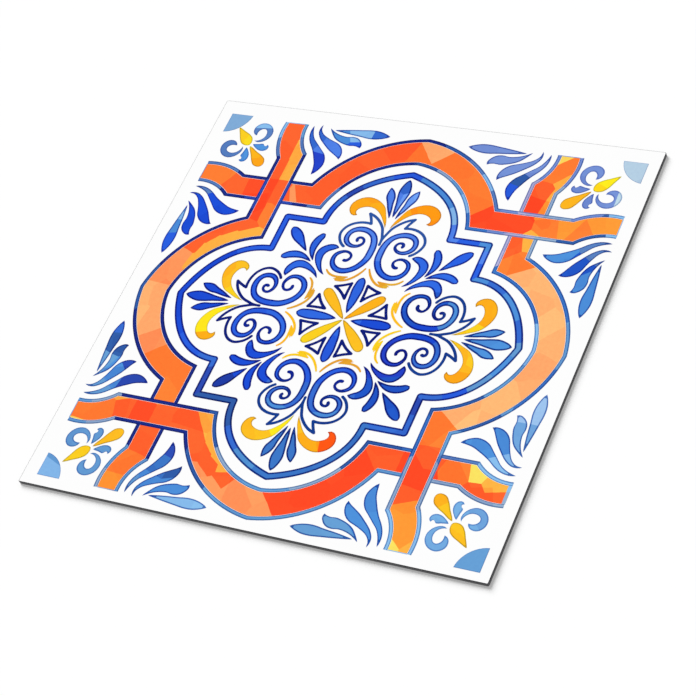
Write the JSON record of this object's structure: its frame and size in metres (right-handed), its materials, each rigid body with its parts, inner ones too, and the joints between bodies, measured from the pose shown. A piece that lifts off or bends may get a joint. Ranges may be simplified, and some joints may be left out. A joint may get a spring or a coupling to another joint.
{
  "type": "peel and stick tile",
  "caption": "Thin square self-adhesive vinyl tile with a printed azulejo strapwork ornament on its face and a flat sticky back, for covering walls and floors.",
  "frame": {"origin": "centre of the adhesive back, which lies on the floor", "axes": "+Z out of the printed face, X and Y along the cut edges, +Y away from the picture's near edge"},
  "size_m": [0.1524, 0.1524, 0.0012],
  "materials": {
    "vinyl": "satin white vinyl",
    "ink_orange": "satin printed ink, red-orange washes",
    "ink_blue": "satin printed ink, cobalt washes",
    "ink_yellow": "satin printed ink, golden yellow washes"
  },
  "bodies": {
    "root": {"tile": "vinyl"}
  },
  "joints": []
}
